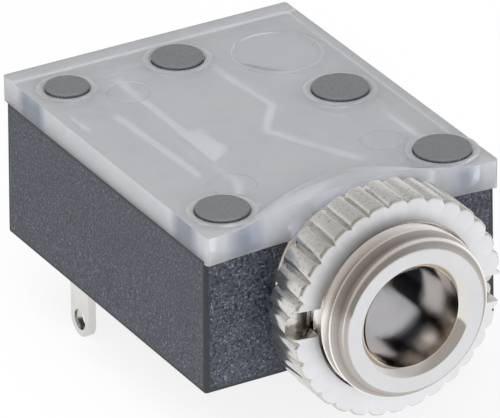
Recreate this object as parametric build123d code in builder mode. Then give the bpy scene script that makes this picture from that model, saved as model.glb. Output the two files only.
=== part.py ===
from build123d import *
import os

# Panel audio jack socket, 3.5 mm, three pole with a ring switch.
# Millimetres. The origin is on the barrel's axis, in the plane that seats against
# the panel. The mouth faces -Y, the body runs back along +Y, and Z is up.

# Housing, an open moulded box
housing_width = 11.18
foot_flare = 0.07
housing_length = 13.86
wall_height = 5.0
axis_height = 3.18
housing_setback = 0.24
side_wall = 0.7
rear_wall = 0.7
floor_thickness = 0.6
corner_radius = 0.12
cavity_corner_radius = 0.25
underside_edge = 0.08

# Cover, a moulded plate held by five stakes
cover_side_overhang = 0.035
cover_rear_overhang = 0.18
cover_thickness = 0.94
cover_corner_radius = 0.12
dome_length = 1.2
dome_front_rise = 0.64
dome_front_half_width = 4.5
dome_rear_rise = 0.55
dome_rear_half_width = 2.5
dome_edge = 0.1
lip_drop = 0.1
lip_arch = 0.18

# Stakes: side of the box, shift from it, end of the box, shift from it, radius.
# Side and end are -1, 0 or 1 for left, middle, right and for front, middle, rear.
stake_places = {
    "rear left": (-1, 1.37, 1, -1.88, 0.78),
    "rear middle": (0, 0.15, 1, -1.82, 0.92),
    "right": (1, -1.81, 0, 0.18, 1.0),
    "front right": (1, -1.21, -1, 1.34, 1.0),
    "front left": (-1, 1.42, -1, 1.31, 0.93),
}
stake_shoulder = 0.16
stake_proud = 0.14
stake_edge = 0.04
stake_clearance = 0.02

# Barrel, turned with the thread's major diameter left plain
thread_radius = 3.0
bore_radius = 1.8
barrel_projection = 4.0
mouth_chamfer = 0.27
thread_end_chamfer = 0.42
neck_depth = 0.55
neck_length = 0.36
collar_depth = 0.12
collar_length = 0.36
collar_edge = 0.08
cradle_clearance = 0.03

# Ring nut, straight knurled, with two driver slots across its front face
nut_wall = 1.0
nut_thickness = 1.7
nut_gap = 1.15
nut_bore_clearance = 0.03
nut_bore_chamfer = 0.12
knurl_teeth = 32
knurl_lobe_radius = 0.38
knurl_chamfer = 0.13
nut_slot_width = 1.0
nut_slot_depth = 0.6
nut_slot_angle = -4.7

# Contacts, stamped from strip. A share is a place along the contacts' room, from 0
# at the front wall's back to 1 at the front of the springs' tails.
strip_thickness = 0.3
bend_radius = 0.35
lug_width = 1.25
lug_length = 2.65
lug_eye_radius = 0.38
lug_clearance = 0.05
leaf_half_height = 1.2
leaf_floor_gap = 0.08
tail_clearance = 0.15
rib_thickness = 0.45
rib_height = 2.6
tail_half_length = 0.7
tail_rear_gap = 0.5

# Tip spring, on the right of the plug
tip_hinge_x = 1.82
tip_knee_x = 2.07
tip_knee_share = 0.7676
tip_apex_x = 0.87
tip_apex_share = 0.6158
tip_end_x = 2.62
tip_end_share = 0.2742
tip_cover_gap = 0.52

# Ring spring, on the left of the plug
ring_hinge_x = -1.9
ring_shoulder_share = 0.6822
ring_apex_x = -1.5
ring_apex_share = 0.4023
ring_end_x = -2.05
ring_end_share = 0.3074
ring_cover_gap = 0.2
ring_leaf_step = 0.67
pad_front_share = 0.4924
pad_inner_x = -1.25
pad_outer_x = -2.1
pad_thickness = 0.28

# Ring switch, folded round beside the left wall
switch_post_gap = 0.08
switch_blade_length = 1.245
switch_bridge_height = 1.6
switch_rear_x = -2.98
switch_end_x = -2.72
switch_end_share = 0.445
switch_cover_gap = 0.52
blade_cover_gap = 0.1

# Sleeve contact, beside the right wall
sleeve_lug_share = 0.3454
sleeve_blade_overrun = 1.2
sleeve_elbow_gap = 0.46
sleeve_arm_overlap = 0.29
sleeve_post_gap = 0.52
sleeve_arm_drop = 2.37

# Seat pad below the barrel
pad_margin = 0.3

# Derived sizes
foot_width = housing_width + 2 * foot_flare
cover_width = housing_width + 2 * cover_side_overhang
cover_length = housing_setback + housing_length + cover_rear_overhang
neck_radius = thread_radius - neck_depth
collar_radius = thread_radius - collar_depth
nut_radius = thread_radius + nut_wall
pad_radius = thread_radius + pad_margin

# Derived places
housing_bottom = -axis_height
housing_top = housing_bottom + wall_height
floor_top = housing_bottom + floor_thickness
cover_top = housing_top + cover_thickness
lip_bottom = housing_top - lip_drop
housing_middle = housing_setback + housing_length / 2
housing_rear = housing_setback + housing_length
front_wall = neck_length + collar_length
neck_back = housing_setback + neck_length
front_wall_back = housing_setback + front_wall
left_face = -housing_width / 2 + side_wall
right_face = housing_width / 2 - side_wall
nut_front = -nut_gap - nut_thickness
lug_bottom = housing_bottom - lug_length
leaf_bottom = floor_top + leaf_floor_gap
hinge_y = housing_rear - rear_wall - tail_rear_gap - tail_half_length
tail_front_y = hinge_y - tail_half_length
blade_top = housing_top - blade_cover_gap
tip_top = housing_top - tip_cover_gap
ring_top = housing_top - ring_cover_gap
ring_leaf_top = ring_top - ring_leaf_step
switch_top = housing_top - switch_cover_gap
stakes = {}
for name, (side, side_shift, end, end_shift, radius) in stake_places.items():
    stake_x = side * housing_width / 2 + side_shift
    stake_y = housing_middle + end * housing_length / 2 + end_shift
    stakes[name] = (Vector(stake_x, stake_y), radius)
parts_folder = "parts"


def post(name):
    """The centre and radius of the post that carries a stake."""
    centre, stake_radius = stakes[name]
    return centre, stake_radius + stake_shoulder


def along(share):
    """How far back a place in the contacts' room is."""
    return front_wall_back + share * (tail_front_y - front_wall_back)


switch_post, switch_post_radius = post("rear left")
switch_post_front = switch_post.Y - switch_post_radius
switch_bridge_y = switch_post_front - switch_post_gap - strip_thickness / 2
switch_lug_y = switch_bridge_y - switch_blade_length + lug_width / 2
sleeve_post, sleeve_post_radius = post("front right")
sleeve_post_rear = sleeve_post.Y + sleeve_post_radius
sleeve_arm_x = sleeve_post.X - sleeve_post_radius - sleeve_post_gap - strip_thickness / 2
sleeve_arm_y = sleeve_post_rear - sleeve_arm_overlap
sleeve_arm_top = housing_top - sleeve_arm_drop
sleeve_elbow_y = sleeve_post_rear + sleeve_elbow_gap
sleeve_lug_y = along(sleeve_lug_share)


def facing_front(y):
    """The plane across the barrel at distance y behind the seat."""
    return Plane.XZ.offset(-y)


def cradle(radius, y_back):
    """The open-topped notch that a round neck drops into."""
    with BuildSketch(facing_front(y_back)) as notch:
        Circle(radius)
        with Locations((0, cover_top / 2)):
            Rectangle(2 * radius, cover_top)
    return notch.sketch


def arch(half_width, base, rise, y_back):
    """A shallow segment standing on a chord at height base."""
    with BuildSketch(facing_front(y_back)) as segment:
        with BuildLine():
            ThreePointArc((-half_width, base), (0, base + rise), (half_width, base))
            Line((half_width, base), (-half_width, base))
        make_face()
    return segment.sketch


def plan_strip(points, height, radii=bend_radius):
    """The plan outline of a folded strip, on the level where it starts."""
    first, *corners, last = points
    with BuildSketch(Plane.XY.offset(height)) as outline:
        with BuildLine() as route:
            if corners:
                FilletPolyline(*points, radius=radii)
            else:
                Line(first, last)
        trace(route.line, line_width=strip_thickness)
    return outline.sketch


def lug(left_side, y_centre, top):
    """A solder lug with a round end and an eye, on its left-hand face."""
    end_centre = lug_bottom + lug_width / 2
    with BuildSketch(Plane.YZ.offset(left_side)) as shape:
        with Locations((y_centre, (top + end_centre) / 2)):
            Rectangle(lug_width, top - end_centre)
        with Locations((y_centre, end_centre)):
            Circle(lug_width / 2)
            Circle(lug_eye_radius, mode=Mode.SUBTRACT)
    return shape.sketch


def lug_slots(places):
    """The slots through the floor that the lugs pass down."""
    with BuildSketch(Plane.XY.offset(housing_bottom)) as slots:
        for x, y, swing in places:
            with Locations((x, y)):
                Rectangle(strip_thickness + 2 * (lug_clearance + swing), lug_width + 2 * lug_clearance)
    return slots.sketch


def tail_ribs(x, y_front):
    """Two ribs from the rear wall, one on each side of a spring's tail."""
    length = housing_rear - rear_wall / 2 - y_front
    reach = strip_thickness / 2 + tail_clearance + rib_thickness / 2
    with BuildSketch(Plane.XY.offset(floor_top)) as ribs:
        with Locations((x - reach, y_front + length / 2), (x + reach, y_front + length / 2)):
            Rectangle(rib_thickness, length)
    return ribs.sketch


# Housing
with BuildPart() as housing:
    with BuildSketch(Plane.XY.offset(housing_bottom)):
        with Locations((0, housing_middle)):
            RectangleRounded(foot_width, housing_length, corner_radius)
    with BuildSketch(Plane.XY.offset(housing_top)):
        with Locations((0, housing_middle)):
            RectangleRounded(housing_width, housing_length, corner_radius)
    loft(ruled=True)
    fillet(housing.faces().sort_by(Axis.Z)[0].edges(), radius=underside_edge)
    with BuildSketch(Plane.XY.offset(floor_top)):
        with Locations((0, (front_wall_back + housing_rear - rear_wall) / 2)):
            RectangleRounded(
                housing_width - 2 * side_wall,
                housing_rear - rear_wall - front_wall_back,
                cavity_corner_radius,
            )
    extrude(amount=wall_height, mode=Mode.SUBTRACT)
    with BuildSketch(Plane.XY.offset(floor_top)):
        for name in stakes:
            post_centre, post_radius = post(name)
            with Locations(post_centre):
                Circle(post_radius)
        with Locations((0, housing_middle)):
            RectangleRounded(housing_width, housing_length, corner_radius, mode=Mode.INTERSECT)
    extrude(amount=housing_top - floor_top)
    for stake_centre, stake_radius in stakes.values():
        with BuildSketch(Plane.XY.offset(floor_top)):
            with Locations(stake_centre):
                Circle(stake_radius)
        extrude(amount=cover_top + stake_proud - floor_top)
    stake_rims = housing.faces().group_by(Axis.Z)[-1].edges()
    chamfer(stake_rims, length=stake_edge)
    extrude(tail_ribs(ring_hinge_x, tail_front_y), amount=rib_height)
    extrude(tail_ribs(tip_hinge_x, tail_front_y), amount=rib_height)
    with BuildSketch(facing_front(housing_setback)):
        Circle(pad_radius)
        with Locations((0, housing_bottom / 2)):
            Rectangle(2 * pad_radius, -housing_bottom, mode=Mode.INTERSECT)
    extrude(amount=housing_setback)
    extrude(cradle(neck_radius + cradle_clearance, neck_back), amount=neck_back, mode=Mode.SUBTRACT)
    extrude(cradle(thread_radius + cradle_clearance, housing_setback), amount=housing_setback, mode=Mode.SUBTRACT)
    extrude(
        cradle(collar_radius + cradle_clearance, front_wall_back),
        amount=front_wall_back - neck_back,
        mode=Mode.SUBTRACT,
    )
    lug_places = [
        (tip_hinge_x, hinge_y, tail_clearance),
        (ring_hinge_x, hinge_y, tail_clearance),
        (left_face + strip_thickness / 2, switch_lug_y, 0),
        (right_face - strip_thickness / 2, sleeve_lug_y, 0),
    ]
    extrude(lug_slots(lug_places), amount=floor_thickness, mode=Mode.SUBTRACT)
housing.part.label = "housing"

# Cover
with BuildPart() as cover:
    with BuildSketch(Plane.XY.offset(lip_bottom)):
        with Locations((0, cover_length / 2)):
            RectangleRounded(cover_width, cover_length, cover_corner_radius)
    extrude(amount=cover_top - lip_bottom)
    with BuildSketch(Plane.XY.offset(lip_bottom)):
        with Locations((0, housing_setback + cover_length / 2)):
            Rectangle(cover_width, cover_length)
    extrude(amount=lip_drop, mode=Mode.SUBTRACT)
    lip_underside = arch(cover_width / 2, lip_bottom, lip_arch, housing_setback)
    extrude(lip_underside, amount=housing_setback, mode=Mode.SUBTRACT)
    add(arch(dome_front_half_width, cover_top, dome_front_rise, 0))
    add(arch(dome_rear_half_width, cover_top, dome_rear_rise, dome_length))
    loft()
    dome_ridge = cover.edges().filter_by(GeomType.CIRCLE).sort_by(Axis.Z)[-2:].sort_by(Axis.Y)[-1]
    fillet(dome_ridge, radius=dome_edge)
    with BuildSketch(facing_front(front_wall_back)):
        Circle(thread_radius + cradle_clearance)
    extrude(amount=front_wall_back, mode=Mode.SUBTRACT)
    with BuildSketch(Plane.XY.offset(housing_top)):
        for stake_centre, stake_radius in stakes.values():
            with Locations(stake_centre):
                Circle(stake_radius + stake_clearance)
    extrude(amount=cover_thickness, mode=Mode.SUBTRACT)
cover.part.label = "cover"

# Barrel
with BuildPart() as barrel:
    with BuildSketch(Plane.XY):
        with BuildLine():
            Polyline(
                (bore_radius, -barrel_projection + mouth_chamfer),
                (bore_radius + mouth_chamfer, -barrel_projection),
                (thread_radius - thread_end_chamfer, -barrel_projection),
                (thread_radius, -barrel_projection + thread_end_chamfer),
                (thread_radius, housing_setback),
                (neck_radius, housing_setback),
                (neck_radius, neck_back),
                (collar_radius, neck_back),
                (collar_radius, front_wall_back - collar_edge),
                (collar_radius - collar_edge, front_wall_back),
                (bore_radius, front_wall_back),
                close=True,
            )
        make_face()
    revolve(axis=Axis.Y)
barrel.part.label = "barrel"

# Ring nut
with BuildPart() as ring_nut:
    with BuildSketch(Plane.XY):
        nut_bore = thread_radius + nut_bore_clearance
        with BuildLine():
            Polyline(
                (nut_bore + nut_bore_chamfer, nut_front),
                (nut_radius - knurl_chamfer, nut_front),
                (nut_radius, nut_front + knurl_chamfer),
                (nut_radius, -nut_gap - knurl_chamfer),
                (nut_radius - knurl_chamfer, -nut_gap),
                (nut_bore + nut_bore_chamfer, -nut_gap),
                (nut_bore, -nut_gap - nut_bore_chamfer),
                (nut_bore, nut_front + nut_bore_chamfer),
                close=True,
            )
        make_face()
    revolve(axis=Axis.Y)
    lobe_centres = nut_radius - knurl_lobe_radius
    with BuildSketch(facing_front(-nut_gap)):
        Circle(lobe_centres)
        with PolarLocations(lobe_centres, knurl_teeth):
            Circle(knurl_lobe_radius)
    extrude(amount=nut_thickness, mode=Mode.INTERSECT)
    with BuildSketch(facing_front(nut_front + nut_slot_depth)):
        with Locations(Rotation(0, 0, nut_slot_angle)):
            Rectangle(3 * nut_radius, nut_slot_width)
    extrude(amount=nut_slot_depth, mode=Mode.SUBTRACT)
ring_nut.part.label = "ring_nut"

# Tip spring
with BuildPart() as tip_spring:
    tip_tail_rear = (tip_hinge_x, hinge_y + tail_half_length)
    tip_tail_front = (tip_hinge_x, tail_front_y)
    tip_knee = (tip_knee_x, along(tip_knee_share))
    tip_apex = (tip_apex_x, along(tip_apex_share))
    tip_end = (tip_end_x, along(tip_end_share))
    tip_route = [tip_tail_rear, tip_tail_front, tip_knee, tip_apex, tip_end]
    extrude(plan_strip([tip_tail_rear, tip_tail_front], leaf_bottom), amount=tip_top - leaf_bottom)
    extrude(plan_strip(tip_route, -leaf_half_height), amount=tip_top + leaf_half_height)
    extrude(lug(tip_hinge_x - strip_thickness / 2, hinge_y, leaf_bottom), amount=strip_thickness)
tip_spring.part.label = "tip_spring"

# Ring spring
with BuildPart() as ring_spring:
    shoulder_y = along(ring_shoulder_share)
    pad_front_y = along(pad_front_share)
    ring_tail_rear = (ring_hinge_x, hinge_y + tail_half_length)
    ring_tail_front = (ring_hinge_x, tail_front_y)
    ring_shoulder = (ring_hinge_x, shoulder_y)
    ring_apex = (ring_apex_x, along(ring_apex_share))
    ring_end = (ring_end_x, along(ring_end_share))
    ring_route = [ring_tail_rear, ring_shoulder, ring_apex, ring_end]
    extrude(plan_strip([ring_tail_rear, ring_tail_front], leaf_bottom), amount=ring_top - leaf_bottom)
    extrude(plan_strip([ring_tail_rear, ring_shoulder], -leaf_half_height), amount=ring_top + leaf_half_height)
    extrude(plan_strip(ring_route, -leaf_half_height), amount=ring_leaf_top + leaf_half_height)
    with BuildSketch(Plane.XY.offset(ring_top)):
        with Locations(((pad_inner_x + pad_outer_x) / 2, (pad_front_y + shoulder_y) / 2)):
            Rectangle(pad_inner_x - pad_outer_x, shoulder_y - pad_front_y)
    extrude(amount=-pad_thickness)
    with BuildSketch(Plane.XY.offset(ring_top)):
        with Locations((ring_hinge_x, shoulder_y)):
            Rectangle(strip_thickness, 2 * strip_thickness)
    extrude(amount=-pad_thickness)
    extrude(lug(ring_hinge_x - strip_thickness / 2, hinge_y, leaf_bottom), amount=strip_thickness)
ring_spring.part.label = "ring_spring"

# Ring switch
with BuildPart() as ring_switch:
    wall_x = left_face + strip_thickness / 2
    blade_front = (wall_x, switch_bridge_y - switch_blade_length)
    switch_corner = (wall_x, switch_bridge_y)
    switch_rear = (switch_rear_x, switch_bridge_y)
    switch_end = (switch_end_x, along(switch_end_share))
    switch_route = [blade_front, switch_corner, switch_rear, switch_end]
    extrude(plan_strip(switch_route, floor_top), amount=switch_bridge_height)
    extrude(plan_strip([blade_front, switch_corner], floor_top), amount=blade_top - floor_top)
    extrude(plan_strip([switch_rear, switch_end], floor_top + leaf_floor_gap), amount=switch_top - leaf_bottom)
    extrude(lug(left_face, switch_lug_y, floor_top), amount=strip_thickness)
ring_switch.part.label = "ring_switch"

# Sleeve contact
with BuildPart() as sleeve_contact:
    wall_x = right_face - strip_thickness / 2
    blade_rear = (wall_x, sleeve_lug_y + sleeve_blade_overrun)
    blade_elbow = (wall_x, sleeve_elbow_y)
    arm_elbow = (sleeve_arm_x, sleeve_arm_y)
    arm_end = (sleeve_arm_x, front_wall_back)
    extrude(plan_strip([blade_rear, blade_elbow], floor_top), amount=blade_top - floor_top)
    extrude(plan_strip([blade_rear, blade_elbow, arm_elbow, arm_end], floor_top), amount=sleeve_arm_top - floor_top)
    extrude(lug(right_face - strip_thickness, sleeve_lug_y, floor_top), amount=strip_thickness)
sleeve_contact.part.label = "sleeve_contact"

pieces = [housing, cover, barrel, ring_nut, tip_spring, ring_spring, ring_switch, sleeve_contact]
os.makedirs(parts_folder, exist_ok=True)
for piece in pieces:
    export_step(piece.part, f"{parts_folder}/{piece.part.label}.step")
    print(piece.part.label, "solids", len(piece.part.solids()), "volume", round(piece.part.volume, 3))
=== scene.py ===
# %% [markdown]
# # A panel audio jack socket, dressed for the camera
# The construction comes packed from the CAD model and is loaded as a fixed frame.
# Everything below is built round it in the same frame: metres, the barrel's axis
# along Y with the mouth towards -Y, and Z up.

# %% Load the frame
import bpy
import bmesh
import math
from mathutils import Matrix, Vector


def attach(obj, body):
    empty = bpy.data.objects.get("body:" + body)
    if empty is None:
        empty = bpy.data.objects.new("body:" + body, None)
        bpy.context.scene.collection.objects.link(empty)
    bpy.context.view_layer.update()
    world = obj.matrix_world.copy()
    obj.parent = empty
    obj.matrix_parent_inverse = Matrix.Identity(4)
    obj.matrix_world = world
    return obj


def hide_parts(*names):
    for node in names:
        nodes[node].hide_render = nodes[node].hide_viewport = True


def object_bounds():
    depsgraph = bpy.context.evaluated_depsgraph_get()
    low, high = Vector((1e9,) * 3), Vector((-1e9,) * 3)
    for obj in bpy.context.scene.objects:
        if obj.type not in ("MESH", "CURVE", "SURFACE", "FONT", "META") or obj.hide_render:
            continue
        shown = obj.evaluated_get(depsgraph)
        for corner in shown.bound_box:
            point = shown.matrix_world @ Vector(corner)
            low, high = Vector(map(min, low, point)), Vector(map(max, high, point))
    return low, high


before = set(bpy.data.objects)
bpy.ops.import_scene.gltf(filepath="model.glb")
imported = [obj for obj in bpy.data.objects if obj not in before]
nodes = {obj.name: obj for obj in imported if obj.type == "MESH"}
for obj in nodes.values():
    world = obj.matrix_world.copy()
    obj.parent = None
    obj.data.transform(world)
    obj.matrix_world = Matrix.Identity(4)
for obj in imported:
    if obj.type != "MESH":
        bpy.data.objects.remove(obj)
cad_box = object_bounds()
mm = 0.001
print("CAD box", [round(v / mm, 3) for corner in cad_box for v in corner])

# %% [markdown]
# ## The camera
# The socket is seen from the front left, a little above, through a long lens. A long
# lens keeps the box's edges nearly parallel, as in a product photograph. The camera's
# three axes are worked out from its bearing, its height and a slight roll.

# %% Camera
azimuth, elevation, roll = (math.radians(a) for a in (-29.514, 27.287, -0.694))
# how far the camera stands back from the box's bottom, aside and up, in mm
distance, aside, upwards = 255.27, -3.517, 4.936
box_bottom = -3.18
sensor, picture_width, pixels_per_mm = 36, 500, 29.7507

back = Vector((
    math.sin(azimuth) * math.cos(elevation),
    -math.cos(azimuth) * math.cos(elevation),
    math.sin(elevation),
))
level_right = Vector((math.cos(azimuth), math.sin(azimuth), 0))
level_up = back.cross(level_right)
right = math.cos(roll) * level_right + math.sin(roll) * level_up
up = math.cos(roll) * level_up - math.sin(roll) * level_right
place = aside * right + upwards * up + distance * back + Vector((0, 0, box_bottom))
turned = Matrix((right, up, back)).transposed().to_4x4()

bpy.ops.object.camera_add()
camera = bpy.context.object
camera.name = "camera"
camera.matrix_world = Matrix.Translation(place * mm) @ turned
camera.data.sensor_width = sensor
camera.data.lens = sensor * pixels_per_mm * distance / picture_width
camera.data.shift_x, camera.data.shift_y = -0.001, 0.001
camera.data.clip_start, camera.data.clip_end = 0.01, 10
bpy.context.scene.camera = camera
bpy.context.scene.view_settings.view_transform = "Standard"
print("camera at", [round(v) for v in place], "mm, lens", round(camera.data.lens), "mm")

# %% [markdown]
# ## Light and floor
# A small shiny part is lit like jewellery: an even pale surround, three broad soft
# lamps and a white table. The surround is grey for the light that it sheds and white
# for the rays of the camera, of gloss and of glass, so nothing is overexposed. One side
# of the room stays dark, as the far end of a studio does, because plated metal has no
# colour of its own and needs something dark to show its form. The lamps are hidden
# from gloss: they light the plastic, while the metal mirrors only the room and the
# table and gets no hard bright patches. The floor takes a faint shadow.

# %% Node helpers
def calculate(tree, operation, *values):
    """A Math node on sockets or numbers."""
    node = tree.nodes.new("ShaderNodeMath")
    node.operation = operation
    for socket, value in zip(node.inputs, values):
        if isinstance(value, (int, float)):
            socket.default_value = value
        else:
            tree.links.new(value, socket)
    return node.outputs[0]


def ramp(tree, value, low, high, to_low=0.0, to_high=1.0, kind="LINEAR"):
    """Stretches value so that low becomes to_low and high to_high, clamped."""
    stretch = tree.nodes.new("ShaderNodeMapRange")
    stretch.interpolation_type = kind
    tree.links.new(value, stretch.inputs["Value"])
    labels = ("From Min", "From Max", "To Min", "To Max")
    for label, number in zip(labels, (low, high, to_low, to_high)):
        stretch.inputs[label].default_value = number
    return stretch.outputs["Result"]


def blend_colours(tree, factor, first, second):
    """Mixes two colours, each a tuple or a socket, by a factor socket."""
    mix = tree.nodes.new("ShaderNodeMix")
    mix.data_type = "RGBA"
    tree.links.new(factor, mix.inputs["Factor"])
    for socket, colour in ((mix.inputs[6], first), (mix.inputs[7], second)):
        if isinstance(colour, tuple):
            socket.default_value = (*colour, 1)
        else:
            tree.links.new(colour, socket)
    return mix.outputs[2]


def shows_white(tree):
    """A socket that is 1 for camera, glossy and transmission rays."""
    rays = tree.nodes.new("ShaderNodeLightPath").outputs
    either = calculate(tree, "MAXIMUM", rays["Is Camera Ray"], rays["Is Glossy Ray"])
    return calculate(tree, "MAXIMUM", either, rays["Is Transmission Ray"])


def choose_shader(tree, factor, first, second, output):
    """Mixes two shaders by a factor socket and sends the mix to the output node."""
    mix = tree.nodes.new("ShaderNodeMixShader")
    for source, socket in zip((factor, first, second), mix.inputs):
        tree.links.new(source, socket)
    tree.links.new(mix.outputs[0], output.inputs["Surface"])


# %% Surround
white = (1, 1, 1)
horizon_grey, ceiling_grey = 0.92, 0.62
dark_wall, dark_direction = (0.45, 0.425, 0.40), Vector((-0.5, -0.82, 0.27))
shed_strength = 0.45

world = bpy.data.worlds.new("pale_surround")
world.use_nodes = True
bpy.context.scene.world = world
tree = world.node_tree
shed = tree.nodes["Background"]
shed.inputs["Color"].default_value = (*white, 1)
shed.inputs["Strength"].default_value = shed_strength
seen = tree.nodes.new("ShaderNodeBackground")
seen.inputs["Strength"].default_value = 1

# the room greys with height, and fades to the dark wall round one direction
direction = tree.nodes.new("ShaderNodeTexCoord").outputs["Generated"]
height = tree.nodes.new("ShaderNodeSeparateXYZ")
tree.links.new(direction, height.inputs[0])
ceiling = ramp(tree, height.outputs["Z"], 0.1, 0.6, horizon_grey, ceiling_grey)
towards_dark = tree.nodes.new("ShaderNodeVectorMath")
towards_dark.operation = "DOT_PRODUCT"
towards_dark.inputs[1].default_value = dark_direction.normalized()
tree.links.new(direction, towards_dark.inputs[0])
dark_end = ramp(tree, towards_dark.outputs["Value"], 0.3, 0.8, kind="SMOOTHSTEP")

room = blend_colours(tree, dark_end, ceiling, dark_wall)

# straight to the camera and through the plastic the room is plain white
rays = tree.nodes.new("ShaderNodeLightPath").outputs
room = blend_colours(tree, rays["Is Camera Ray"], room, white)
room = blend_colours(tree, rays["Is Transmission Ray"], room, white)
tree.links.new(room, seen.inputs["Color"])
world_output = tree.nodes["World Output"]
choose_shader(tree, shows_white(tree), shed.outputs[0], seen.outputs[0], world_output)
print("surround sheds", shed_strength)

# %% Lamps
lamp_distance = 0.3


def soft_lamp(name, towards, size, power):
    """A square lamp that stands in the direction towards, turned to the socket."""
    direction = Vector(towards).normalized()
    aimed = direction.to_track_quat("Z", "Y").to_euler()
    bpy.ops.object.light_add(type="AREA", location=direction * lamp_distance, rotation=aimed)
    lamp = bpy.context.object
    lamp.name = name
    lamp.data.size = size
    lamp.data.energy = power
    lamp.visible_glossy = False
    return lamp


lamps = (
    soft_lamp("overhead_lamp", (-0.35, -0.1, 1), 0.3, 0.52),
    soft_lamp("side_lamp", (-1, -0.35, 0.45), 0.25, 0.05),
    soft_lamp("front_lamp", (-0.3, -1, 0.3), 0.25, 0.80),
)
print("lamps", [round(lamp.data.energy, 2) for lamp in lamps], "W")

# %% Floor
def inside(material):
    """A material's tree and its Principled BSDF."""
    return material.node_tree, material.node_tree.nodes["Principled BSDF"]


def new_material(name):
    """A material with nodes, its tree and its Principled BSDF."""
    material = bpy.data.materials.new(name)
    material.use_nodes = True
    return material, *inside(material)


lowest = cad_box[0].z
floor_middle, floor_radius = (0, 0.01, lowest), 0.06
glow_strength, glow_share = 1.04, 0.8

bpy.ops.object.select_all(action="DESELECT")
bpy.ops.mesh.primitive_circle_add(
    vertices=96, radius=floor_radius, fill_type="NGON", location=floor_middle)
floor = bpy.context.object
floor.name = "floor"
table_white, tree, shader = new_material("table_white")
shader.inputs["Base Color"].default_value = (0.86, 0.86, 0.87, 1)
shader.inputs["Roughness"].default_value = 0.7
glow = tree.nodes.new("ShaderNodeEmission")
glow.inputs["Color"].default_value = (*white, 1)
glow.inputs["Strength"].default_value = glow_strength
share = calculate(tree, "MULTIPLY", shows_white(tree), glow_share)
floor_output = tree.nodes["Material Output"]
choose_shader(tree, share, shader.outputs[0], glow.outputs[0], floor_output)
floor.data.materials.append(table_white)
print("floor at", round(lowest / mm, 2), "mm")

# %% [markdown]
# ## Modelling helpers
# Every piece below is shaped with the same few moves that a hand would make in edit
# mode: pick faces, edges or points by where they are, then run an operator on them.
# Sizes are written in millimetres and turned into metres where an operator is called.

# %% Pick
def alone(obj):
    """Only obj is selected and active, in object mode."""
    if bpy.context.mode != "OBJECT":
        bpy.ops.object.mode_set(mode="OBJECT")
    bpy.ops.object.select_all(action="DESELECT")
    obj.select_set(True)
    bpy.context.view_layer.objects.active = obj


def centre_of(part, kind):
    """The centre of a vertex, an edge or a face, in mm."""
    if kind == "verts":
        return part.co / mm
    if kind == "edges":
        return (part.verts[0].co + part.verts[1].co) / 2 / mm
    return part.calc_center_median() / mm


def pick(obj, kind, test):
    """Selects in edit mode what passes the test, and returns the centres in mm.

    kind is verts, edges or faces. The test gets the centre, and a face's normal too.
    """
    if bpy.context.mode != "EDIT_MESH":
        alone(obj)
        bpy.ops.object.mode_set(mode="EDIT")
    bpy.ops.mesh.select_mode(type={"verts": "VERT", "edges": "EDGE", "faces": "FACE"}[kind])
    bpy.ops.mesh.select_all(action="DESELECT")
    mesh = bmesh.from_edit_mesh(obj.data)
    chosen = []
    for part in getattr(mesh, kind):
        centre = centre_of(part, kind)
        if test(centre, part.normal) if kind == "faces" else test(centre):
            part.select_set(True)
            chosen.append(centre)
    mesh.select_flush_mode()
    bmesh.update_edit_mesh(obj.data)
    return chosen


def around_axis(point):
    """Distance from the barrel's axis in mm."""
    return math.hypot(point.x, point.z)


# %% Shape and settle
def grow(factor):
    """Scales what is selected towards or away from the barrel's axis."""
    bpy.ops.transform.resize(value=(factor, 1, factor), center_override=(0, 0, 0))


def push(distance):
    """Extrudes what is selected along the barrel's axis, in mm."""
    bpy.ops.mesh.extrude_region_move(TRANSFORM_OT_translate={"value": (0, distance * mm, 0)})


def lying_cylinder(points, radius, length, middle):
    """A cylinder on the barrel's axis, round the place middle along it. Sizes in mm."""
    bpy.ops.object.select_all(action="DESELECT")
    bpy.ops.mesh.primitive_cylinder_add(
        vertices=points, radius=radius * mm, depth=length * mm,
        location=(0, middle * mm, 0), rotation=(math.radians(90), 0, 0))
    bpy.ops.object.transform_apply(location=True, rotation=True, scale=True)
    return bpy.context.object


def apply_modifier(obj, kind, **settings):
    """Adds a modifier with these settings and applies it."""
    alone(obj)
    modifier = obj.modifiers.new(kind.lower(), kind)
    for key, value in settings.items():
        setattr(modifier, key, value)
    bpy.ops.object.modifier_apply(modifier=modifier.name)


def round_edges(obj, radius, segments, sharper_than):
    """Rounds the edges that are sharper than an angle in degrees. Radius in mm."""
    apply_modifier(
        obj, "BEVEL", width=radius * mm, segments=segments, limit_method="ANGLE",
        angle_limit=math.radians(sharper_than), use_clamp_overlap=True)


def combine(obj, tool, operation):
    """Takes the tool out of obj, or joins it on, and removes the tool."""
    apply_modifier(obj, "BOOLEAN", object=tool, operation=operation, solver="EXACT")
    bpy.data.objects.remove(tool)


# edges sharper than this, in degrees, stay crisp in the shading
crease_angle = 35


def finished(obj, name, body, material):
    """Settles a piece: place in its mesh, flats that shade flat, material and body."""
    alone(obj)
    bpy.ops.object.transform_apply(location=True, rotation=True, scale=True)
    bpy.ops.object.shade_smooth_by_angle(angle=math.radians(crease_angle))
    apply_modifier(obj, "WEIGHTED_NORMAL", mode="FACE_AREA", weight=50, keep_sharp=True)
    obj.name = name
    obj.data.name = name
    obj.data.materials.clear()
    obj.data.materials.append(material)
    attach(obj, body)
    print(name, "has", sum(len(face.vertices) - 2 for face in obj.data.polygons), "triangles")


# %% [markdown]
# ## Finishes
# Three effects come back in several materials, so each is a node group. Grain is the
# fine pitted skin of a spark-eroded mould: a soft noise for bump and a sharper one for
# pale specks. Handling is the faint, uneven dulling of a surface that has been touched.
# Turning knows how a lathe has worked: it gives the tool's rings, the distance from
# the axis, and the distance from the middle of the thread's groove, so a finish can be
# bright on a crest and brown in a root without being painted by hand.

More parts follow.
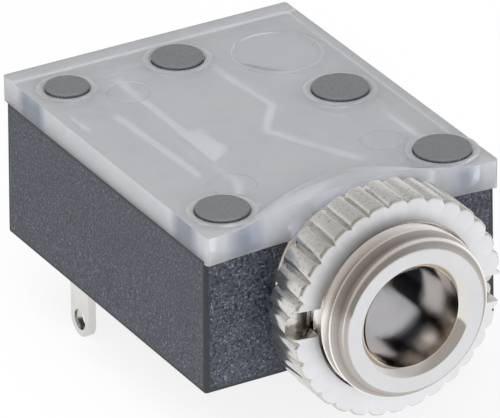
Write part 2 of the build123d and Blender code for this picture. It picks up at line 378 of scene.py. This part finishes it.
# %% Group helpers
def new_group(name, inputs, outputs):
    """A shader node group with number inputs {label: default} and number outputs."""
    group = bpy.data.node_groups.new(name, "ShaderNodeTree")
    number = "NodeSocketFloat"
    for label, default in inputs.items():
        socket = group.interface.new_socket(label, in_out="INPUT", socket_type=number)
        socket.default_value = default
    for label in outputs:
        group.interface.new_socket(label, in_out="OUTPUT", socket_type=number)
    return group, group.nodes.new("NodeGroupInput"), group.nodes.new("NodeGroupOutput")


def use_group(tree, group, **values):
    """Places a group in a material with its own values, and returns its outputs."""
    node = tree.nodes.new("ShaderNodeGroup")
    node.node_tree = group
    for label, number in values.items():
        node.inputs[label].default_value = number
    return node.outputs


def object_point(tree):
    """The point that is shaded, in the piece's own frame, in metres."""
    return tree.nodes.new("ShaderNodeTexCoord").outputs["Object"]


def position(tree):
    """The same point as three numbers, by the names X, Y and Z."""
    apart = tree.nodes.new("ShaderNodeSeparateXYZ")
    tree.links.new(object_point(tree), apart.inputs[0])
    return apart.outputs


def past(tree, place, low, high):
    """0 up to the place low and 1 from the place high on, both in mm."""
    return ramp(tree, place, low * mm, high * mm)


def noise(tree, coordinates, scale, detail, roughness):
    """A noise texture on these coordinates, scale per metre (a number or a socket)."""
    texture = tree.nodes.new("ShaderNodeTexNoise")
    texture.inputs["Detail"].default_value = detail
    texture.inputs["Roughness"].default_value = roughness
    if isinstance(scale, float):
        texture.inputs["Scale"].default_value = scale
    else:
        tree.links.new(scale, texture.inputs["Scale"])
    tree.links.new(coordinates, texture.inputs["Vector"])
    return texture.outputs["Fac"]


# %% Grain and handling
grain, into, out = new_group("mould_grain", {"Scale": 9000.0}, ("Height", "Specks"))
spots = object_point(grain)
coarse = noise(grain, spots, into.outputs["Scale"], 3, 0.7)
finer = calculate(grain, "MULTIPLY", into.outputs["Scale"], 1.9)
fine = noise(grain, spots, finer, 2, 0.6)
grain.links.new(coarse, out.inputs["Height"])
grain.links.new(ramp(grain, fine, 0.56, 0.72), out.inputs["Specks"])

handling, into, out = new_group("handling", {"Scale": 700.0}, ("Dulling", "Brushing"))
spots = object_point(handling)
cloudy = noise(handling, spots, into.outputs["Scale"], 4, 0.65)
handling.links.new(ramp(handling, cloudy, 0.35, 0.7), out.inputs["Dulling"])
handling.links.new(noise(handling, spots, 22000.0, 2, 0.5), out.inputs["Brushing"])
print("node groups", grain.name, handling.name)

# %% Turning
# the thread's pitch, and where its groove starts along the axis, in mm
pitch, groove_start = 0.5, -4.395

turning, into, out = new_group(
    "turning", {"Spacing": 9000.0}, ("Marks", "Radius", "From Groove"))
where = position(turning)
across = turning.nodes.new("ShaderNodeCombineXYZ")
turning.links.new(where["X"], across.inputs["X"])
turning.links.new(where["Z"], across.inputs["Y"])
radius = turning.nodes.new("ShaderNodeVectorMath")
radius.operation = "LENGTH"
turning.links.new(across.outputs[0], radius.inputs[0])
from_axis = radius.outputs["Value"]
turning.links.new(calculate(turning, "MULTIPLY", from_axis, 1 / mm), out.inputs["Radius"])

tool_path = turning.nodes.new("ShaderNodeCombineXYZ")
turning.links.new(calculate(turning, "ADD", from_axis, where["Y"]), tool_path.inputs["X"])
rings = noise(turning, tool_path.outputs[0], into.outputs["Spacing"], 4, 0.7)
turning.links.new(rings, out.inputs["Marks"])

downwards = calculate(turning, "MULTIPLY", where["Z"], -1)
bearing = calculate(turning, "ARCTAN2", downwards, where["X"])
turns_round = calculate(turning, "DIVIDE", bearing, 2 * math.pi)
from_start = calculate(turning, "SUBTRACT", where["Y"], groove_start * mm)
turns_along = calculate(turning, "DIVIDE", from_start, pitch * mm)
ahead = calculate(turning, "SUBTRACT", turns_along, turns_round)
off_middle = calculate(turning, "ABSOLUTE", calculate(turning, "WRAP", ahead, 0.5, -0.5))
turning.links.new(
    calculate(turning, "MULTIPLY", off_middle, pitch), out.inputs["From Groove"])
print("node group", turning.name)

# %% [markdown]
# ### The dark box
# Glass-filled nylon from a spark-eroded mould is nearly black with a cold cast. Its
# tiny pits catch the light one by one, which makes it look sprinkled. Towards its
# edges the grain fades and the colour darkens into a smooth dark line, a painted shade
# for the shadow under the cover and the dark that the rounded edges reflect. The
# stakes' tops are melted over the cover by a hot tool, which leaves them flat and paler.

# %% Housing plastic
def bump(tree, height, strength, distance, over=None):
    """A bump of this height over a normal, or over the bare surface. Distance in mm."""
    node = tree.nodes.new("ShaderNodeBump")
    node.inputs["Strength"].default_value = strength
    node.inputs["Distance"].default_value = distance * mm
    tree.links.new(height, node.inputs["Height"])
    if over:
        tree.links.new(over, node.inputs["Normal"])
    return node.outputs["Normal"]


# middle and half length of the box along each axis, how far from its sides the painted
# edge shade begins and is whole, and the heights between which a stake's top begins, in mm
box_sides = {"X": (0, 5.60), "Y": (7.17, 6.93), "Z": (-0.68, 2.50)}
edge_shade_from, edge_shade_whole = 0.24, 0.08
stake_top = (2.80, 2.86)

dark_nylon, tree, shader = new_material("dark_nylon")
grains = use_group(tree, grain, Scale=7500.0)
touch = use_group(tree, handling, Scale=500.0)
where = position(tree)


def near_side(axis):
    """1 near either side of the box along an axis, 0 away from them."""
    middle, half = box_sides[axis]
    off = calculate(tree, "ABSOLUTE", calculate(tree, "SUBTRACT", where[axis], middle * mm))
    return past(tree, off, half - edge_shade_from, half - edge_shade_whole)


skin = blend_colours(tree, touch["Dulling"], (0.046, 0.054, 0.072), (0.056, 0.064, 0.083))
out_of_pits = ramp(tree, grains["Height"], 0.40, 0.54)
pitted = blend_colours(tree, out_of_pits, (0.008, 0.010, 0.014), skin)
sprinkled = blend_colours(tree, grains["Specks"], pitted, (0.20, 0.22, 0.26))
# painted shade: near the box's edges the colour darkens into a dark line
# two sides meet at an edge, so there the sum passes 1
sides = calculate(tree, "ADD", near_side("X"), near_side("Y"))
sides = calculate(tree, "ADD", sides, near_side("Z"))
painted_edge_shade = ramp(tree, sides, 1.25, 1.85)
box_colour = blend_colours(tree, painted_edge_shade, sprinkled, (0.020, 0.022, 0.026))
melted = blend_colours(tree, grains["Specks"], (0.150, 0.158, 0.165), (0.19, 0.20, 0.21))
on_stake = past(tree, where["Z"], *stake_top)
tree.links.new(blend_colours(tree, on_stake, box_colour, melted), shader.inputs["Base Color"])
rough = ramp(tree, grains["Height"], 0.3, 0.7, 0.42, 0.68)
tree.links.new(rough, shader.inputs["Roughness"])
tree.links.new(bump(tree, grains["Height"], 0.85, 0.04), shader.inputs["Normal"])
print(dark_nylon.name)

# %% [markdown]
# ### The milky cover
# The cover is unpigmented plastic: part of the light goes through and shows the stakes
# and the contacts' edges, and part is scattered back as a cool white. Light meets the
# plate at the top and again at the underside, and two milky surfaces would hide all
# that lies below. So only the top is milky, the underside and the walls of the stake
# holes are nearly clear, and the outer edges lie between. Where a stake stands close
# behind an edge, a blue-grey painted shade stands for it showing through, and the rims
# that the hot tool raised are whiter. The underside is painted dark, a painted shade,
# where it hangs past the box's rear and right walls, because the white table would show
# through it there as a bright line.

# %% Cover plastic
milky, tree, shader = new_material("milky_plastic")
touch = use_group(tree, handling, Scale=450.0)
cool_white = blend_colours(tree, touch["Dulling"], (0.79, 0.82, 0.93), (0.85, 0.875, 0.97))
tree.links.new(cool_white, shader.inputs["Base Color"])
shader.inputs["Transmission Weight"].default_value = 0.54
shader.inputs["Subsurface Weight"].default_value = 1
shader.inputs["Subsurface Radius"].default_value = (1, 1, 1)
shader.inputs["Subsurface Scale"].default_value = 1.6 * mm
shader.inputs["IOR"].default_value = 1.49
smooth = ramp(tree, touch["Dulling"], 0, 1, 0.08, 0.12)
tree.links.new(smooth, shader.inputs["Roughness"])
tree.links.new(bump(tree, touch["Brushing"], 0.04, 0.01), shader.inputs["Normal"])
print(milky.name)

# %% Clearer and whiter faces of the cover
def feeding(shader, label):
    """The socket that feeds one of the shader's inputs."""
    return shader.inputs[label].links[0].from_socket


def variant(name, transmission):
    """A copy of the milky plastic that lets more or less light through."""
    copy = milky.copy()
    copy.name = name
    tree, shader = inside(copy)
    shader.inputs["Transmission Weight"].default_value = transmission
    return copy, tree, shader


whitened, tree, shader = variant("whitened_rim", 0.44)

# where the box's rear and right walls end under the cover, in mm
rear_wall, right_wall = (14.07, 14.11), (5.57, 5.60)
clear, tree, shader = variant("clear_underside", 0.97)
where = position(tree)
past_rear = past(tree, where["Y"], *rear_wall)
past_right = past(tree, where["X"], *right_wall)
past_wall = calculate(tree, "MAXIMUM", past_rear, past_right)
# painted shade: past the walls the underside is painted dark, so the white table does not show
# through there as a bright line
shaded = blend_colours(tree, past_wall, feeding(shader, "Base Color"), (0.12, 0.125, 0.14))
tree.links.new(shaded, shader.inputs["Base Color"])

# where the stakes stand and their radius, and how far the painted shade round them reaches, in
# mm
stakes = (
    (-4.22, 12.22, 0.78), (0.15, 12.28, 0.92), (3.78, 7.35, 1.0), (4.38, 1.58, 0.985),
    (-4.17, 1.55, 0.93))
shade_whole, shade_end = 1.50, 1.74
painted_stake_shade = (0.32, 0.365, 0.44)
side_clear, tree, shader = variant("clear_edge", 0.5)
flatten = tree.nodes.new("ShaderNodeVectorMath")
flatten.operation = "MULTIPLY"
flatten.inputs[1].default_value = (1, 1, 0)
tree.links.new(object_point(tree), flatten.inputs[0])
to_stake = 1.0
for x, y, stake_radius in stakes:
    away = tree.nodes.new("ShaderNodeVectorMath")
    away.operation = "DISTANCE"
    away.inputs[1].default_value = (x * mm, y * mm, 0)
    tree.links.new(flatten.outputs["Vector"], away.inputs[0])
    to_stake = calculate(tree, "MINIMUM", to_stake, away.outputs["Value"])
free_of_stake = past(tree, to_stake, shade_whole, shade_end)
# painted shade: near a stake the edge is painted blue-grey, for the stake showing through
shaded = blend_colours(tree, free_of_stake, painted_stake_shade, feeding(shader, "Base Color"))
tree.links.new(shaded, shader.inputs["Base Color"])
print(whitened.name, clear.name, side_clear.name)

# %% [markdown]
# ### The metals
# Barrel and nut are nickel plated: warm grey mirrors with a slight orange peel. The
# bore keeps the streaks of its drill. The thread is brown where its plating stays thin,
# darker in its roots as painted shade, and carries painted highlights on its crests and
# on top beside the nut.
# The nut has small pits in its knurl and a clean turned face. The contacts are thin
# brass strip, silvered on the two fixed blades and bare on the two springs.

# %% Plated metals
def plated(name, clean, worn, smooth, dull, ripple):
    """A plated metal that goes from clean and smooth to worn and dull in clouds."""
    material, tree, shader = new_material(name)
    touch = use_group(tree, handling, Scale=650.0)
    shader.inputs["Metallic"].default_value = 1
    colour = blend_colours(tree, touch["Dulling"], clean, worn)
    tree.links.new(colour, shader.inputs["Base Color"])
    rough = ramp(tree, touch["Dulling"], 0, 1, smooth, dull)
    tree.links.new(rough, shader.inputs["Roughness"])
    tree.links.new(bump(tree, touch["Brushing"], ripple, 0.01), shader.inputs["Normal"])
    return material, tree, shader


def roughen(tree, shader, extra):
    """Adds a socket to the roughness that a plated metal has."""
    total = calculate(tree, "ADD", feeding(shader, "Roughness"), extra)
    tree.links.new(total, shader.inputs["Roughness"])


silvered_brass = plated(
    "silvered_brass", (0.74, 0.735, 0.725), (0.64, 0.63, 0.60), 0.16, 0.28, 0.08)[0]
bare_brass = plated(
    "bare_brass", (0.78, 0.74, 0.63), (0.70, 0.65, 0.52), 0.18, 0.30, 0.08)[0]
print("contact metals", silvered_brass.name, bare_brass.name)

# %% The barrel's nickel
bright_nickel, tree, shader = plated(
    "bright_nickel", (0.72, 0.72, 0.735), (0.68, 0.68, 0.69), 0.07, 0.13, 0.04)
marks = use_group(tree, turning, Spacing=16000.0)
where = position(tree)
# the colour of the painted highlights, and the brown of thin plating
painted_highlight, thin_plating = (1.0, 0.97, 0.94), (0.47, 0.44, 0.41)

# the thread, from its root to its crest: brown of thin plating, darkened in the root as painted
# shade, and a painted highlight on the crest
off_root = ramp(tree, marks["From Groove"], 0.02, 0.17)
on_crest = ramp(tree, marks["From Groove"], 0.19, 0.225)
flank = blend_colours(tree, off_root, (0.25, 0.23, 0.21), thin_plating)
thread = blend_colours(tree, on_crest, flank, painted_highlight)

# painted highlights on top beside the nut: on the whole turn next to it, and on the crests a
# little further out
lit_top = past(tree, where["Z"], -0.6, 0.8)
near_crest = ramp(tree, marks["From Groove"], 0.12, 0.18)
crest_highlight = calculate(tree, "MULTIPLY", past(tree, where["Y"], -3.18, -3.08), near_crest)
crest_highlight = calculate(tree, "MULTIPLY", crest_highlight, lit_top)
highlight_beside_nut = calculate(tree, "MULTIPLY", past(tree, where["Y"], -3.06, -2.96), lit_top)
thread = blend_colours(tree, highlight_beside_nut, thread, (0.88, 0.83, 0.79))
thread = blend_colours(tree, crest_highlight, thread, (1.0, 0.96, 0.93))

# from the axis outwards: bore, lip, face, cone and thread, with radii in mm
drilled = ramp(tree, marks["Marks"], 0.42, 0.62)
colour = blend_colours(tree, drilled, (0.95, 0.885, 0.815), (1.0, 0.955, 0.895))
for low, high, outside in (
        (1.81, 1.83, (0.72, 0.70, 0.66)), (2.04, 2.08, feeding(shader, "Base Color")),
        (2.58, 2.62, thin_plating), (2.70, 2.74, thread)):
    colour = blend_colours(tree, ramp(tree, marks["Radius"], low, high), colour, outside)
tree.links.new(colour, shader.inputs["Base Color"])
roughen(tree, shader, ramp(tree, marks["Radius"], 2.60, 2.66, 0, 0.18))
orange_peel = feeding(shader, "Normal")
tree.links.new(bump(tree, marks["Marks"], 0.3, 0.01, orange_peel), shader.inputs["Normal"])
print("barrel", bright_nickel.name)

# %% The nut's nickel
satin_nickel, tree, shader = plated(
    "satin_nickel", (0.70, 0.685, 0.655), (0.60, 0.585, 0.55), 0.15, 0.25, 0.10)
grains = use_group(tree, grain, Scale=5200.0)
where = position(tree)
warm_grey = feeding(shader, "Base Color")
pitted = blend_colours(tree, grains["Specks"], warm_grey, (0.42, 0.40, 0.37))
# the turned front face lies at -2.85 mm and the knurl begins just behind it
behind_face = past(tree, where["Y"], -2.845, -2.82)
faced = blend_colours(tree, behind_face, (0.85, 0.855, 0.88), pitted)
# painted highlight: the chamfer and wall of the nut's hole are painted near white
from_hole = ramp(tree, use_group(tree, turning)["Radius"], 3.08, 3.10)
tree.links.new(blend_colours(tree, from_hole, painted_highlight, faced), shader.inputs["Base Color"])
roughen(tree, shader, ramp(tree, behind_face, 0, 1, 0.28, 0))
print("nut", satin_nickel.name)

# %% [markdown]
# ## Pieces taken over from the frame
# The moulded and stamped pieces already have their true shape. Each is copied, its
# loose triangles are merged, flat regions are dissolved into whole faces, and every
# sharp edge gets the small radius that moulding, stamping or tumbling leaves, because
# it is those radii that catch the light.

# %% Softened copies
def softened(node, name, body, material, radius):
    """A merged copy of a CAD node with rounded edges, in place of the node. Radius in mm."""
    copy = nodes[node].copy()
    copy.data = nodes[node].data.copy()
    for key in list(copy.keys()):
        if key.startswith("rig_"):
            del copy[key]
    copy.parent = None
    bpy.context.scene.collection.objects.link(copy)
    alone(copy)
    bpy.ops.object.mode_set(mode="EDIT")
    bpy.ops.mesh.select_mode(type="VERT")
    bpy.ops.mesh.select_all(action="SELECT")
    bpy.ops.mesh.remove_doubles(threshold=1e-6)
    bpy.ops.mesh.customdata_custom_splitnormals_clear()
    bpy.ops.mesh.dissolve_limited(angle_limit=math.radians(0.5))
    bpy.ops.object.mode_set(mode="OBJECT")
    round_edges(copy, radius, 2, 30)
    finished(copy, name, body, material)
    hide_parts(node)
    return copy


softened("housing", "moulded_box", "base", dark_nylon, 0.03)
cover_piece = softened("cover", "moulded_cover", "base", milky, 0.03)

# %% [markdown]
# ## Marks on the cover
# Ejector pins leave shallow circles on a moulded plate, and the hot tool that rivets a
# stake pushes up a soft rim round it. A plain raised ring fills the round place at the
# rear right. Each mark is a torus, joined to the plate or taken out of it, because a
# boolean keeps the plate one closed solid. Its faces then get their finishes by where
# they lie.

# %% Marks on the cover
cover_top = 2.76
# place and diameter of each circle, and how deep it is let in
ejector_pins, ejector_depth = ((-2.53, 10.9, 1.5), (3.05, 3.3, 1.5), (-2.95, 3.05, 1.6)), 0.04
plain_ring, plain_ring_radius, plain_ring_height = (3.35, 10.93), 1.6, 0.07
# the melted rim: how far from its stake, the radius of its tube and how flat it is pressed
rim_gap, rim_tube, rim_flat = 0.16, 0.13, 0.4


def add_ring(place, major, minor, operation, flat=1.0):
    """A ring round a point of the cover's top, let in or laid on. Sizes in mm."""
    bpy.ops.object.select_all(action="DESELECT")
    bpy.ops.mesh.primitive_torus_add(
        location=(place[0] * mm, place[1] * mm, cover_top * mm), major_radius=major * mm,
        minor_radius=minor * mm, major_segments=96, minor_segments=12)
    ring = bpy.context.object
    ring.scale.z = flat
    bpy.ops.object.transform_apply(location=True, rotation=True, scale=True)
    combine(cover_piece, ring, operation)


for x, y, diameter in ejector_pins:
    add_ring((x, y), diameter / 2, ejector_depth, "DIFFERENCE")
add_ring(plain_ring, plain_ring_radius, plain_ring_height, "UNION")
for x, y, stake_radius in stakes:
    add_ring((x, y), stake_radius + rim_gap, rim_tube, "UNION", rim_flat)
finished(cover_piece, "moulded_cover", "base", milky)

# %% Finishes of the cover's faces
# heights of the underside, and where the left and front edges begin, in mm
underside_from, underside_to = 1.75, 1.9
left_edge, front_edge = -5.55, 0.05


def give(obj, material, test):
    """Gives the faces that pass the test another material."""
    obj.data.materials.append(material)
    chosen = pick(obj, "faces", test)
    obj.active_material_index = len(obj.data.materials) - 1
    bpy.ops.object.material_slot_assign()
    bpy.ops.object.mode_set(mode="OBJECT")
    print(material.name, "on", len(chosen), "faces")


def upright(n):
    """True for the normal of a face that is steeper than 60 degrees."""
    return abs(n.z) < 0.5


def from_stake(c, low, high):
    """True for a point whose distance from the edge of a stake is from low to high."""
    return any(low < math.dist(c[:2], (x, y)) - r < high for x, y, r in stakes)


def clear_face(c, n):
    """True for the underside and for the walls of the stake holes."""
    underside = n.z < -0.5 and underside_from < c.z < underside_to
    return underside or upright(n) and from_stake(c, -0.1, 0.1)


give(cover_piece, clear, clear_face)
give(cover_piece, side_clear, lambda c, n: upright(n) and (c.x < left_edge or c.y < front_edge))
give(cover_piece, whitened, lambda c, n: c.z > cover_top + 0.002 and from_stake(c, 0.02, 0.3))

# %% [markdown]
# ## The contacts
# Four strips are stamped and folded from thin sheet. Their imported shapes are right,
# and tumbling after stamping has broken their edges, so each only gets a small radius.
# The two springs ride on bodies of their own, because they give way to a plug.

# %% Stamped contacts
softened("tip_spring", "tip_leaf", "tip_contact", bare_brass, 0.02)
softened("ring_spring", "ring_leaf", "ring_contact", bare_brass, 0.02)
softened("ring_switch", "switch_blade", "base", silvered_brass, 0.02)
softened("sleeve_contact", "sleeve_blade", "base", silvered_brass, 0.02)

# %% [markdown]
# ## The barrel
# The real one is turned from bar: a bored tube with a chamfered mouth, an M6 x 0.5
# thread outside, then a neck and a collar that sit in the box's front wall. Here a
# cylinder is inset, extruded and bridged into the tube, and a helical cutter made by
# the Screw modifier takes the thread out of it, as a threading tool would. The groove
# has a narrow round bottom, straight flanks and rounded crests, so its outline is drawn
# point by point.

# %% Turned blank
thread_radius, bore_radius, root_radius = 3.0, 1.8, 2.69
mouth_y, thread_back = -4.0, 0.24
neck_radius, neck_length = 2.45, 0.36
collar_radius, collar_length = 2.88, 0.28
collar_end_radius, collar_end_length = 2.80, 0.08
lip, mouth_chamfer = 0.27, 0.42

barrel = lying_cylinder(
    144, thread_radius, thread_back - mouth_y, (thread_back + mouth_y) / 2)
pick(barrel, "faces", lambda c, n: n.y > 0.9)
bpy.ops.mesh.extrude_region_move()
grow(neck_radius / thread_radius)
push(neck_length)
bpy.ops.mesh.extrude_region_move()
grow(collar_radius / neck_radius)
push(collar_length)
push(collar_end_length)
grow(collar_end_radius / collar_radius)
bpy.ops.mesh.extrude_region_move()
grow(bore_radius / collar_end_radius)
pick(barrel, "faces", lambda c, n: n.y < -0.9 and c.y < mouth_y + 0.01)
bpy.ops.mesh.extrude_region_move()
grow((bore_radius + lip) / thread_radius)
push(lip)
grow(bore_radius / (bore_radius + lip))
pick(barrel, "faces", lambda c, n: abs(n.y) > 0.9 and around_axis(c) < 0.1)
bpy.ops.mesh.bridge_edge_loops()
pick(barrel, "edges", lambda c: abs(c.y - mouth_y) < 0.01 and around_axis(c) > 2.9)
bpy.ops.mesh.bevel(offset=mouth_chamfer * mm, segments=1, affect="EDGES")
bpy.ops.object.mode_set(mode="OBJECT")
print("blank", len(barrel.data.vertices), "points")

# %% Outline of the groove
def draw_outline(points):
    """Draws a closed line through points (x, y in mm), one extrusion after the other."""
    bpy.ops.object.select_all(action="DESELECT")
    bpy.ops.mesh.primitive_plane_add(size=2 * mm, location=(0, 0, 0))
    drawn = bpy.context.object
    pick(drawn, "verts", lambda c: True)
    bpy.ops.mesh.merge(type="CENTER")
    bpy.ops.transform.translate(value=(points[0][0] * mm, points[0][1] * mm, 0))
    for (x, y), (next_x, next_y) in zip(points, points[1:]):
        step = ((next_x - x) * mm, (next_y - y) * mm, 0)
        bpy.ops.mesh.extrude_region_move(TRANSFORM_OT_translate={"value": step})
    ends = (points[0], points[-1])
    pick(drawn, "verts", lambda c: any(math.dist(c[:2], end) < 1e-4 for end in ends))
    bpy.ops.mesh.edge_face_add()
    return drawn


# half a groove of the thread: distance from its middle, and radius
half_groove = (
    (0.030, 2.694), (0.052, 2.712), (0.165, 2.908), (0.190, 2.946), (0.215, 2.974),
    (0.246, 2.996), (0.246, 3.03))
groove = [(r, groove_start - w) for w, r in reversed(half_groove)]
groove += [(root_radius, groove_start)]
groove += [(r, groove_start + w) for w, r in half_groove]
cutter = draw_outline(groove)
print("groove", len(groove), "points")

# %% Cut the thread
groove_turns, steps_per_turn = 9, 96

apply_modifier(
    cutter, "SCREW", axis="Y", angle=math.radians(360), steps=steps_per_turn,
    render_steps=steps_per_turn, screw_offset=pitch * mm, iterations=groove_turns,
    use_merge_vertices=False)
pick(cutter, "verts", lambda c: True)
bpy.ops.mesh.fill_holes(sides=len(groove))
bpy.ops.mesh.select_all(action="SELECT")
bpy.ops.mesh.normals_make_consistent(inside=False)
bpy.ops.object.mode_set(mode="OBJECT")
print("cutter", len(cutter.data.polygons), "faces")

combine(barrel, cutter, "DIFFERENCE")
round_edges(barrel, 0.012, 1, 35)
finished(barrel, "threaded_barrel", "base", bright_nickel)
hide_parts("barrel")

# %% [markdown]
# ## The ring nut
# Thirty-two rounded teeth run straight across the rim, their ends chamfered by the
# lathe, and two driver slots cross the front. A cylinder with twelve points to each
# tooth is drawn in point by point to the tooth's outline, broad on its back and steep
# at the gap, then closed to a plain round hole the size of the thread, and a bar cuts
# the slots.

# %% Tooth outline
teeth, per_tooth = 32, 12
tooth_crest, tooth_depth, face_crest = 3.9995, 0.21, 3.90


def tooth_radius(step):
    """Radius of the outline at a point that many steps from a tooth's middle."""
    return tooth_crest - tooth_depth * (2 * step / per_tooth) ** 4


def face_radius(step):
    """Radius of the shallower outline that the end chamfer leaves."""
    return face_crest - 0.6 * (tooth_radius(0) - tooth_radius(step))


def tooth_step(point):
    """How many steps a point is from the middle of its tooth."""
    turn = math.atan2(point.z, point.x) / math.radians(360 / teeth / per_tooth)
    return min(round(turn) % per_tooth, -round(turn) % per_tooth)


print("tooth radii", [round(tooth_radius(step), 3) for step in range(per_tooth // 2 + 1)])

# %% Rings of the nut
nut_front, nut_back, nut_chamfer = -2.85, -1.15, 0.08
blank_radius, face_rise = 4, 0.002
hole_mouth, hole_radius, hole_chamfer = 3.085, 3.03, 0.06


def true_ring(obj, y, radius_of):
    """Brings the ring of points at y to radius_of(step), step by step."""
    for step in range(per_tooth // 2 + 1):
        ring = pick(obj, "verts", lambda c: abs(c.y - y) < 0.001 and tooth_step(c) == step)
        now = around_axis(ring[0])
        if abs(now - radius_of(step)) > 1e-6:
            grow(radius_of(step) / now)


nut = lying_cylinder(
    teeth * per_tooth, blank_radius, nut_back - nut_front - 2 * nut_chamfer,
    (nut_front + nut_back) / 2)
for y, outwards in ((nut_front + nut_chamfer, -1), (nut_back - nut_chamfer, 1)):
    true_ring(nut, y, tooth_radius)
    pick(nut, "faces", lambda c, n: n.y * outwards > 0.9)
    push(nut_chamfer * outwards)
    face_y = y + nut_chamfer * outwards
    true_ring(nut, face_y, face_radius)
    pick(nut, "faces", lambda c, n: n.y * outwards > 0.9)
    push(face_rise * outwards)
    true_ring(nut, face_y + face_rise * outwards, lambda step: hole_mouth)
    pick(nut, "faces", lambda c, n: n.y * outwards > 0.9 and around_axis(c) < 0.1)
    push(-hole_chamfer * outwards)
    grow(hole_radius / hole_mouth)
pick(nut, "faces", lambda c, n: abs(n.y) > 0.9 and around_axis(c) < 0.1)
bpy.ops.mesh.bridge_edge_loops()
bpy.ops.object.mode_set(mode="OBJECT")
print("nut", len(nut.data.vertices), "points")

# %% Driver slots
# the bar that cuts both slots, in mm, and its turn round the axis, in degrees
slot_middle, slot_bar, slot_turn = nut_front + 0.1, (9, 1, 1), -4.7

bpy.ops.object.select_all(action="DESELECT")
bpy.ops.mesh.primitive_cube_add(
    size=1 * mm, location=(0, slot_middle * mm, 0), scale=slot_bar)
bar = bpy.context.object
bpy.ops.object.transform_apply(location=False, rotation=False, scale=True)
pick(bar, "verts", lambda c: True)
bpy.ops.transform.rotate(
    value=math.radians(slot_turn), orient_axis="Y", center_override=(0, 0, 0))
bpy.ops.object.mode_set(mode="OBJECT")
combine(nut, bar, "DIFFERENCE")
round_edges(nut, 0.018, 2, 32)
finished(nut, "knurled_nut", "nut", satin_nickel)
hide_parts("ring_nut")
